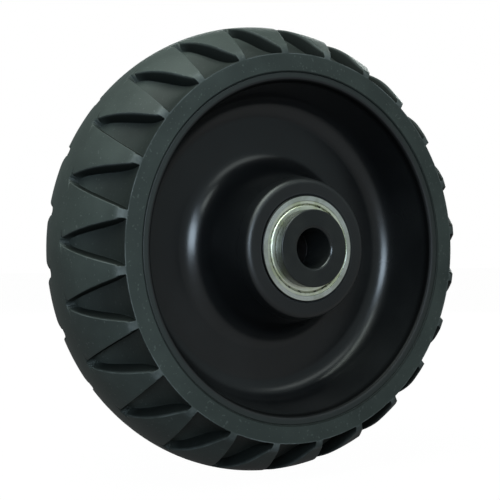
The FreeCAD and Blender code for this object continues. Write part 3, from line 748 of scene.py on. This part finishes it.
# Outline: seat of the bearing, hub, web, rim and the bed of the tyre, as straight lines with rounded corners,
# and its mirror image
def centreOutline(c):
    fine, small, soft = c["sharp"]
    return mirrored([
        (c["hubBore"], c["seatFloor"], soft), (c["seat"], c["seatFloor"], small),
        (c["seat"], c["bossFace"] - c["seatMouth"], fine), (c["seat"] + c["seatMouth"], c["bossFace"], small),
        (c["bossRadius"], c["bossFace"], c["bossRounding"]), (c["bossRoot"], c["web"], c["hubRounding"]),
        (c["rimRoot"], c["web"], c["rimRounding"]), (c["rimLip"], c["rimFace"], c["lipRounding"]),
        (c["rimRadius"], c["rimFace"], c["rimEdge"]), (c["rimRadius"], c["bedStep"], fine),
        (c["bedRadius"], c["bed"], fine)])


mesh = turnedMesh("wheelMoulding", centreOutline(centre), centre["segments"], centre["step"])
addPiece("wheelMoulding", mesh, centrePlastic, "wheel", ["wheel_centre"])
print("moulded centre made")


# Bearings, bushes and spacer. Places in a bearing are from its own middle, outwards.

bearing = {
    "face": 29.2,            # of the bearing, from the middle of the wheel
    "half": 5.5,
    "outer": 17.5,
    "bore": 7.5,
    "chamfer": 0.4,
    "outerLand": 14.5,
    "innerLand": 10.5,
    "seat": 15.6,            # of the shields, in the outer ring
    "seatDepth": 1.0,
    "pitch": 12.5,
    "balls": 8,
    "ball": 2.97,
    "ballRows": 15,
    "ballColumns": 24,
    "track": 3.06,
    "trackShift": 0.06,
    "trackPoints": 13,
    "cageHalfBand": 1.15,
    "cageGauge": 0.6,
    "cageRoom": 0.1,
    "cageRows": 7,
    "cageColumns": 36,       # for each ball
    "segments": 160,
    "step": 15,
    "support": 0.08,
}
shield = {
    "outer": 15.6, "rim": 14.6, "groove": 14.4, "grooveEnd": 14.15, "bead": 13.95, "beadEnd": 12.6,
    "flat": 12.2, "inner": 10.75, "top": 5.25, "gauge": 0.4, "step": 0.35,
}
bush = {
    "bore": 6.4, "flange": 12.7, "face": 33.0, "seat": 29.2, "spigot": 7.5, "end": 19.2, "edge": 0.45,
    "mouth": 1.2, "segments": 160, "step": 12, "support": 0.12,
}
spacer = {"outer": 10.0, "bore": 6.9, "half": 18.2, "edge": 0.3, "segments": 96, "step": 20}


# A ball track in a ring: arc of the track's radius about its centre, between the two lands.
# Corner = (centre + sign * track * cos(angle), track * sin(angle)).
def trackArc(b, land, sign):
    centreRadius, track = b["pitch"] - sign * b["trackShift"], b["track"]
    reach = math.acos(min(1, abs(land - centreRadius) / track))
    turns = np.linspace(-reach, reach, b["trackPoints"])
    return [(centreRadius + sign * track * math.cos(a), track * math.sin(a), 0) for a in turns]


# Outline: chamfered outside, a step for the shield at each end, and the track between the lands
def outerRingOutline(b):
    seat = b["half"] - b["seatDepth"]
    track = trackArc(b, b["outerLand"], 1)
    return ([(b["outer"], -b["half"], b["chamfer"]), (b["outer"], b["half"], b["chamfer"]),
             (b["seat"], b["half"], 0.12), (b["seat"], seat, 0.05), (b["outerLand"], seat, 0.1)]
            + track[::-1]
            + [(b["outerLand"], -seat, 0.1), (b["seat"], -seat, 0.05), (b["seat"], -b["half"], 0.12)])


# Outline: chamfered bore, and the track between the lands
def innerRingOutline(b):
    track = trackArc(b, b["innerLand"], -1)
    return ([(b["bore"], b["half"], b["chamfer"]), (b["bore"], -b["half"], b["chamfer"]),
             (b["innerLand"], -b["half"], 0.15)] + track + [(b["innerLand"], b["half"], 0.15)])


# Outline: bent sheet, rim to groove to bead to flat, and the same bends lower by the gauge
def shieldOutline(s):
    high, low = s["top"], s["top"] - s["step"]
    bends = [(s["outer"], high, 0.1), (s["rim"], high, 0.12), (s["groove"], low, 0.07),
             (s["grooveEnd"], low, 0.07), (s["bead"], high, 0.25), (s["beadEnd"], high, 0.3),
             (s["flat"], low, 0.15), (s["inner"], low, 0.1)]
    return bends + [(r, y - s["gauge"], k) for r, y, k in reversed(bends)]


# Outline: flange on the bearing's face, and a spigot in its bore
def bushOutline(b):
    return [(b["bore"], b["end"], 0.2), (b["bore"], b["face"], b["mouth"]), (b["flange"], b["face"], b["edge"]),
            (b["flange"], b["seat"], 0.15), (b["spigot"], b["seat"], 0.0), (b["spigot"], b["end"], 0.4)]


# Sphere point = centre + radius * (sin(polar) * cos(turn), cos(polar), sin(polar) * sin(turn))
def ballGrids(b, middle):
    polar = np.linspace(0, math.pi, b["ballRows"])[1:-1, None]
    turn = np.arange(b["ballColumns"])[None] * tau / b["ballColumns"]
    ball = b["ball"] * np.stack([np.sin(polar) * np.cos(turn), np.cos(polar) + 0 * turn,
                                 np.sin(polar) * np.sin(turn)], -1)
    spots = np.arange(b["balls"]) * tau / b["balls"]
    centres = np.stack([b["pitch"] * np.cos(spots), np.full(b["balls"], middle),
                        -b["pitch"] * np.sin(spots)], -1)
    return ball, centres


# Half of the ribbon cage. Outer height = the larger of the gauge and sqrt((pocket + gauge) ^ 2 - distance from
# the ball's middle ^ 2), inner height = sqrt(pocket ^ 2 - distance ^ 2) or 0
def cageGrid(b, middle, side):
    across = b["pitch"] + b["cageHalfBand"] * np.linspace(-1, 1, b["cageRows"])
    columns = b["balls"] * b["cageColumns"]
    turn = np.arange(columns) * tau / columns
    spot = tau / b["balls"]
    off = (turn + spot / 2) % spot - spot / 2
    away = (across[:, None] * np.cos(off) - b["pitch"]) ** 2 + (across[:, None] * np.sin(off)) ** 2
    pocket, gauge = b["ball"] + b["cageRoom"], b["cageGauge"]
    low = np.sqrt(np.clip(pocket ** 2 - away, 0, None))
    high = np.maximum(np.sqrt(np.clip((pocket + gauge) ** 2 - away, 0, None)), gauge)
    height = np.concatenate([low, high[::-1]])
    radius = np.concatenate([across, across[::-1]])[:, None]
    grid = np.stack([radius * np.cos(turn), middle + side * height, -radius * np.sin(turn)], -1)
    return grid[::-1] if side < 0 else grid


# One bearing and its bush. Sign is -1 at the front and 1 at the rear.
def makeEnd(end, sign, b):
    middle = sign * (b["face"] - b["half"])
    cageBody = f"{end}_ball_cage"

    def inBearing(name, outline, finish, body, node):
        mesh = turnedMesh(name, outline, b["segments"], b["step"], b["support"], sign, middle)
        addPiece(name, mesh, steel[finish], body, [node])

    inBearing(f"{end}BearingOuter", outerRingOutline(b), "ringSteel", "wheel",
              f"{end}_outer_ring")
    inBearing(f"{end}BearingInner", innerRingOutline(b), "ringSteel", "axle_set",
              f"{end}_inner_ring")
    outline = shieldOutline(shield)
    inBearing(f"{end}OuterShield", outline, "shieldSteel", "wheel", f"{end}_outer_shield")
    inBearing(f"{end}InnerShield", flipped(outline), "shieldSteel", "wheel",
              f"{end}_inner_shield")
    for side, way in (("Outer", sign), ("Inner", -sign)):
        mesh = gridMesh(f"{end}Cage{side}", [cageGrid(b, middle, way)])
        addPiece(f"{end}Cage{side}", mesh, steel["cageSteel"], cageBody,
                 [f"{end}_cage_{side.lower()}_half"])
    ball, centres = ballGrids(b, middle)
    poles = np.array([(0, b["ball"], 0), (0, -b["ball"], 0)])
    mesh = gridMesh(f"{end}Balls", [ball + c for c in centres], False, [poles + c for c in centres])
    addPiece(f"{end}Balls", mesh, steel["ballSteel"], cageBody, [f"{end}_balls"])
    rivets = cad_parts[f"{end}_cage_rivets"].data.materials
    rivets.clear()
    rivets.append(steel["cageSteel"])
    mesh = turnedMesh(f"{end}AxleBush", bushOutline(bush), bush["segments"], bush["step"], bush["support"], sign)
    addPiece(f"{end}AxleBush", mesh, bushPlastic, "axle_set", [f"{end}_bush"])


makeEnd("front", -1, bearing)
makeEnd("rear", 1, bearing)
spacerOutline = mirrored([(spacer[side], spacer["half"], spacer["edge"]) for side in ("bore", "outer")])
mesh = turnedMesh("spacerTube", spacerOutline, spacer["segments"], spacer["step"])
addPiece("spacerTube", mesh, steel["spacerSteel"], "axle_set", ["spacer_tube"])
print("bearings, bushes and spacer made")


# Floor, backdrop and light

studio = {
    "floorColour": colour(0.12, 0.12, 0.12),
    "floorRoughness": 0.9,
    "floorWhite": 0.9,       # how much of the floor's look is plain white, where the rest is its shaded colour
    "floorGlow": 1.098,      # strength that makes the two together as white as the surroundings
    "floorSize": 8.0,
    "floorGloss": 0.22,      # how white the floor is in a reflection, against what the camera sees
    "worldGloss": 0.29,      # how white the surroundings are in a reflection
    "worldTint": colour(0.80, 0.98, 1.0),
    "ambient": 0.08,
}
lamps = {
    # name: (place, size, power, colour), each aimed at the wheel's centre
    "topSoftbox": ((-0.27, -0.16, 0.95), (0.8, 0.6), 10.5, (0.88, 1.0, 0.92)),
    "upperSoftbox": ((-0.40, -0.34, 0.52), (0.4, 0.3), 1.7, (0.90, 1.0, 0.97)),
    "leftSoftbox": ((-0.23, -0.338, 0.061), (0.2, 0.135), 1.07, (0.69, 0.85, 1.0)),
    "frontSoftbox": ((0.17, -0.52, 0.51), (0.54, 0.15), 0.47, (0.92, 1.0, 0.97)),
    "rearSoftbox": ((0.62, 0.74, 0.30), (0.7, 0.5), 8.0, (0.92, 1.0, 0.97)),
}


def rays(paint, kind):
    return paint.node("ShaderNodeLightPath", output=f"Is {kind} Ray")


# Shown = own shading * (1 - share) + white * share, where share = glow to the camera and glow * gloss in a
# reflection
def whiteForCamera(paint, own, white, glow, gloss):
    share = (rays(paint, "Camera") + (rays(paint, "Glossy") + rays(paint, "Transmission")) * gloss) * glow
    return paint.node("ShaderNodeMixShader", inputs={0: share, 1: own, 2: white})


def makeFloor(s):
    half, height = s["floorSize"] / 2, cadBox[0][2]
    mesh = bpy.data.meshes.new("studioFloor")
    corners = [(-half, -half, height), (half, -half, height), (half, half, height), (-half, half, height)]
    mesh.from_pydata(corners, [], [(0, 1, 2, 3)])
    floor = bpy.data.objects.new("studioFloor", mesh)
    scene.collection.objects.link(floor)
    paint = Paint("studioFloor", Base_Color=s["floorColour"], Roughness=s["floorRoughness"],
                  Specular_IOR_Level=0.0)
    white = paint.node("ShaderNodeEmission", inputs={"Strength": s["floorGlow"]})
    paint.show(whiteForCamera(paint, paint.finish, white, s["floorWhite"], s["floorGloss"]))
    mesh.materials.append(paint.material)


# The surroundings are plain white to the camera and tinted in reflections
def makeWorld(s):
    world = bpy.data.worlds.new("studioWorld")
    scene.world = world
    world.use_nodes = True
    paint = Paint.of(world.node_tree)
    plain = paint.tree.nodes["Background"]
    plain.inputs["Color"].default_value, plain.inputs["Strength"].default_value = colour(1, 1, 1), s["ambient"]
    tint = paint.blend(rays(paint, "Camera"), s["worldTint"], colour(1, 1, 1))
    white = paint.node("ShaderNodeBackground", inputs={"Color": tint, "Strength": 1.0})
    mix = whiteForCamera(paint, Value(paint.tree, plain.outputs[0]), white, 1.0, s["worldGloss"])
    paint.tree.links.new(mix.socket, paint.tree.nodes["World Output"].inputs["Surface"])


# Object matrix from its right, up and back directions and its place
def placed(right, up, back, place):
    turned = np.eye(4)
    turned[:3] = np.stack([right, up, back, place], 1)
    return Matrix(turned.tolist())


# A lamp shines along its own -Z: back = direction from the wheel's centre to the lamp, right is level
def aimed(place):
    back = np.array(place) / np.linalg.norm(place)
    right = np.cross((0, 0, 1), back)
    right /= np.linalg.norm(right)
    return placed(right, np.cross(back, right), back, place)


makeFloor(studio)
makeWorld(studio)
for name, (place, size, power, tint) in lamps.items():
    light = bpy.data.lights.new(name, "AREA")
    light.shape = "RECTANGLE"
    light.size, light.size_y = size
    light.energy = power
    light.color = tint
    lamp = bpy.data.objects.new(name, light)
    scene.collection.objects.link(lamp)
    lamp.matrix_world = aimed(place)
    lamp.visible_camera = False
scene.view_settings.view_transform = "Standard"
print("floor and light made")


# Camera: turned by yaw about the upright and tipped by pitch, with the middle of the front side ring
# at the given place in front of it (right, down, ahead, in mm)

camera = {
    "yaw": 31.4,
    "pitch": -0.26,
    "target": (17.342, -0.522, 362.44),
    "focal": 1100,           # in pixels of a picture this wide
    "width": 500,
    "sensor": 36,
    "clip": (0.01, 50),
}


def placeCamera(c, frontFace):
    yaw, pitch = math.radians(c["yaw"]), math.radians(c["pitch"])
    rowX = np.array([math.cos(yaw), 0, math.sin(yaw)])
    rowY = np.array([-math.sin(yaw) * math.cos(pitch), -math.sin(pitch), math.cos(yaw) * math.cos(pitch)])
    rows = np.stack([rowX, rowY, np.cross(rowX, rowY)])
    right, down, ahead = rows.T
    place = np.array([0, frontFace, 0]) - rows @ np.array(c["target"])
    data = bpy.data.cameras.new("camera")
    data.lens, data.sensor_width = c["focal"] / c["width"] * c["sensor"], c["sensor"]
    data.clip_start, data.clip_end = c["clip"]
    item = bpy.data.objects.new("camera", data)
    scene.collection.objects.link(item)
    item.matrix_world = placed(right, -down, -ahead, place * mm)
    scene.camera = item


placeCamera(camera, -tyre["halfWidth"])
print("camera placed")
